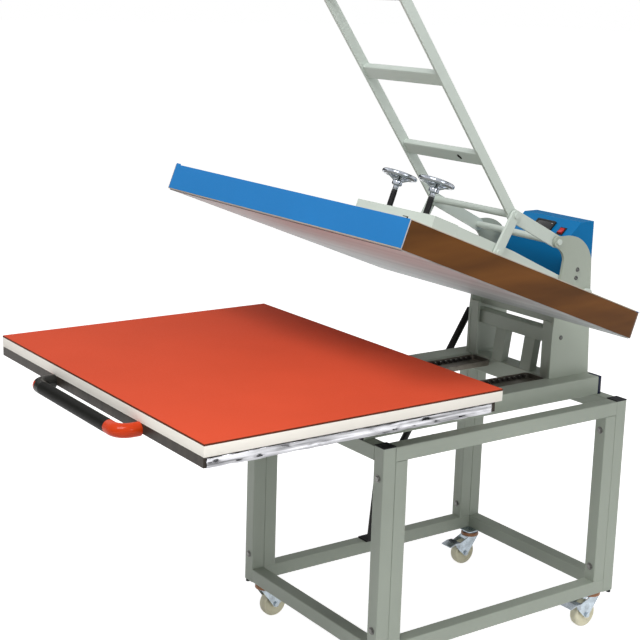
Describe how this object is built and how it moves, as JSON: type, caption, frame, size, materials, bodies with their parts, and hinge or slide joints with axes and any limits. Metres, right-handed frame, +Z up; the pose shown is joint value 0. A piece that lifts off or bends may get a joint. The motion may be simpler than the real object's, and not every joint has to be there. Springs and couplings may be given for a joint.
{
  "type": "manual heat press",
  "caption": "Large clamshell heat press with pull-out lower platen, toggle lever, pressure handwheels and control box on a wheeled stand.",
  "frame": {"origin": "centre of the press's outline on the floor, at the bottom of its bounding box, with the lever up and the drawer out", "axes": "+X to the right of a person facing the press, +Y from the front to the rear, +Z up"},
  "size_m": [1, 1.537, 1.7377],
  "materials": {
    "frame_paint": "satin",
    "pale_paint": "satin",
    "black_plastic": "matt",
    "zinc": "satin",
    "slide_steel": "oiled",
    "caster_nylon": "satin",
    "caster_steel": "zinc plated",
    "pedal_dark": "satin",
    "box_blue": "satin",
    "instrument_black": "gloss",
    "switch_red": "gloss",
    "tray_steel": "satin",
    "board_white": "matt",
    "pad_orange": "matt",
    "foil": "crinkled",
    "grip_black": "satin",
    "elbow_orange": "satin",
    "handle_steel": "polished",
    "plate_aluminium": "fine ground",
    "heater_steel": "matt",
    "insulation_wool": "matt",
    "cover_blue": "satin",
    "panel_brown": "satin",
    "seat_steel": "satin",
    "wheel_chrome": "polished",
    "screw_black": "black oxide",
    "strut_black": "satin"
  },
  "bodies": {
    "bench": {"stand_end_frames": "frame_paint", "stand_side_frames": "frame_paint", "frame_bolts": "zinc", "tube_end_plugs": "black_plastic", "base_frame": "frame_paint", "slide_channels": "slide_steel", "slide_ball_rows": "slide_steel", "caster_plates": "caster_steel", "columns": "frame_paint", "column_bracing": "frame_paint", "column_cross_plate": "frame_paint", "lever_shaft": "pale_paint", "control_box": "box_blue", "control_box_back": "box_blue", "power_inlet": "black_plastic", "contactor": "instrument_black", "temperature_controller": "instrument_black", "switch_housing": "black_plastic", "strut_bracket": "strut_black"},
    "rocker": {"rocker_switch": "switch_red"},
    "drawer": {"drawer_tray": "tray_steel", "slide_runners": "slide_steel", "lower_board": "board_white", "silicone_pad": "pad_orange", "foil_wrap": "foil", "drawer_handle": "handle_steel", "handle_grip": "grip_black", "handle_elbows": "elbow_orange"},
    "swing": {"swing_channel": "pale_paint", "swing_arms": "pale_paint", "hinge_shaft": "pale_paint"},
    "platen": {"heating_plate": "plate_aluminium", "heating_element": "heater_steel", "platen_insulation": "insulation_wool", "platen_cover": "cover_blue", "platen_side_panels": "panel_brown", "platen_seats": "seat_steel"},
    "left_handwheel": {"handwheel_left": "wheel_chrome", "pressure_screw_left": "screw_black"},
    "right_handwheel": {"handwheel_right": "wheel_chrome", "pressure_screw_right": "screw_black"},
    "lever": {"lever_side_bars": "pale_paint", "ladder_rungs": "pale_paint", "lever_tubes": "pale_paint", "knee_axle": "pale_paint"},
    "links": {"toggle_links": "pale_paint"},
    "strut_tube": {"strut_cylinder": "strut_black"},
    "strut_slider": {"strut_rod": "seat_steel"},
    "fork_front_left": {"caster_fork_front_left": "caster_steel"},
    "wheel_front_left": {"caster_wheel_front_left": "caster_nylon"},
    "pedal_front_left": {"caster_pedal_front_left": "pedal_dark"},
    "fork_front_right": {"caster_fork_front_right": "caster_steel"},
    "wheel_front_right": {"caster_wheel_front_right": "caster_nylon"},
    "pedal_front_right": {"caster_pedal_front_right": "pedal_dark"},
    "fork_rear_left": {"caster_fork_rear_left": "caster_steel"},
    "wheel_rear_left": {"caster_wheel_rear_left": "caster_nylon"},
    "pedal_rear_left": {"caster_pedal_rear_left": "pedal_dark"},
    "fork_rear_right": {"caster_fork_rear_right": "caster_steel"},
    "wheel_rear_right": {"caster_wheel_rear_right": "caster_nylon"},
    "pedal_rear_right": {"caster_pedal_rear_right": "pedal_dark"}
  },
  "joints": [
    {"name": "drawer_slide", "type": "slide", "parent": "bench", "child": "drawer", "axis": [0, 1, 0], "range_m": [0, 0.449]},
    {"name": "swing_hinge", "type": "hinge", "parent": "bench", "child": "swing", "pos_m": [0, 0.6935, 0.9268], "axis": [1, 0, 0], "range_deg": [0, 21]},
    {"name": "platen_press", "type": "slide", "parent": "swing", "child": "platen", "axis": [0, 0.3584, 0.9336], "range_m": [0, 0.01]},
    {"name": "left_handwheel_turn", "type": "hinge", "parent": "platen", "child": "left_handwheel", "pos_m": [-0.0745, 0.19408, 1.16328], "axis": [0, 0.3584, 0.9336], "range_deg": [0, 1801]},
    {"name": "right_handwheel_turn", "type": "hinge", "parent": "platen", "child": "right_handwheel", "pos_m": [0.0745, 0.19408, 1.16328], "axis": [0, 0.3584, 0.9336], "range_deg": [0, 1801]},
    {"name": "lever_pivot", "type": "hinge", "parent": "bench", "child": "lever", "pos_m": [0, 0.5805, 1.08], "axis": [1, 0, 0], "range_deg": [0, 46.59]},
    {"name": "link_knee", "type": "hinge", "parent": "lever", "child": "links", "pos_m": [0, 0.41853, 1.16146], "axis": [1, 0, 0], "range_deg": [-60.91, 0]},
    {"name": "strut_pivot", "type": "hinge", "parent": "bench", "child": "strut_tube", "pos_m": [-0.238, 0.3365, 0.3198], "axis": [1, 0, 0], "range_deg": [-1.62, 0]},
    {"name": "strut_stroke", "type": "slide", "parent": "strut_tube", "child": "strut_slider", "axis": [0, 0.5338, 0.8456], "range_m": [0, 0.012]},
    {"name": "rocker_switch_tilt", "type": "hinge", "parent": "bench", "child": "rocker", "pos_m": [0.07, 0.68665, 1.0855], "axis": [1, 0, 0], "range_deg": [0, 14]},
    {"name": "swivel_front_left", "type": "hinge", "parent": "bench", "child": "fork_front_left", "pos_m": [-0.253, -0.0485, 0.09], "axis": [0, 0, 1], "continuous": true},
    {"name": "roll_front_left", "type": "hinge", "parent": "fork_front_left", "child": "wheel_front_left", "pos_m": [-0.253, -0.0205, 0.0375], "axis": [1, 0, 0], "continuous": true},
    {"name": "brake_front_left", "type": "hinge", "parent": "fork_front_left", "child": "pedal_front_left", "pos_m": [-0.253, 0.0115, 0.0635], "axis": [-1, 0, 0], "range_deg": [0, 14]},
    {"name": "swivel_front_right", "type": "hinge", "parent": "bench", "child": "fork_front_right", "pos_m": [0.253, -0.0485, 0.09], "axis": [0, 0, 1], "continuous": true},
    {"name": "roll_front_right", "type": "hinge", "parent": "fork_front_right", "child": "wheel_front_right", "pos_m": [0.253, -0.0205, 0.0375], "axis": [1, 0, 0], "continuous": true},
    {"name": "brake_front_right", "type": "hinge", "parent": "fork_front_right", "child": "pedal_front_right", "pos_m": [0.253, 0.0115, 0.0635], "axis": [-1, 0, 0], "range_deg": [0, 14]},
    {"name": "swivel_rear_left", "type": "hinge", "parent": "bench", "child": "fork_rear_left", "pos_m": [-0.253, 0.7075, 0.09], "axis": [0, 0, 1], "continuous": true},
    {"name": "roll_rear_left", "type": "hinge", "parent": "fork_rear_left", "child": "wheel_rear_left", "pos_m": [-0.253, 0.6795, 0.0375], "axis": [1, 0, 0], "continuous": true},
    {"name": "brake_rear_left", "type": "hinge", "parent": "fork_rear_left", "child": "pedal_rear_left", "pos_m": [-0.253, 0.6475, 0.0635], "axis": [1, 0, 0], "range_deg": [0, 14]},
    {"name": "swivel_rear_right", "type": "hinge", "parent": "bench", "child": "fork_rear_right", "pos_m": [0.253, 0.7075, 0.09], "axis": [0, 0, 1], "continuous": true},
    {"name": "roll_rear_right", "type": "hinge", "parent": "fork_rear_right", "child": "wheel_rear_right", "pos_m": [0.253, 0.6795, 0.0375], "axis": [1, 0, 0], "continuous": true},
    {"name": "brake_rear_right", "type": "hinge", "parent": "fork_rear_right", "child": "pedal_rear_right", "pos_m": [0.253, 0.6475, 0.0635], "axis": [1, 0, 0], "range_deg": [0, 14]}
  ],
  "couplings": [
    {"joint": "lever_pivot", "follows": "swing_hinge", "ratio": 2.2163},
    {"joint": "link_knee", "follows": "swing_hinge", "ratio": -2.8983},
    {"joint": "strut_pivot", "follows": "swing_hinge", "ratio": -0.076538},
    {"joint": "strut_stroke", "follows": "swing_hinge", "m_per_rad": 0.032471},
    {"joint": "left_handwheel_turn", "follows": "platen_press", "rad_per_m": 3141.6},
    {"joint": "right_handwheel_turn", "follows": "platen_press", "rad_per_m": 3141.6}
  ]
}
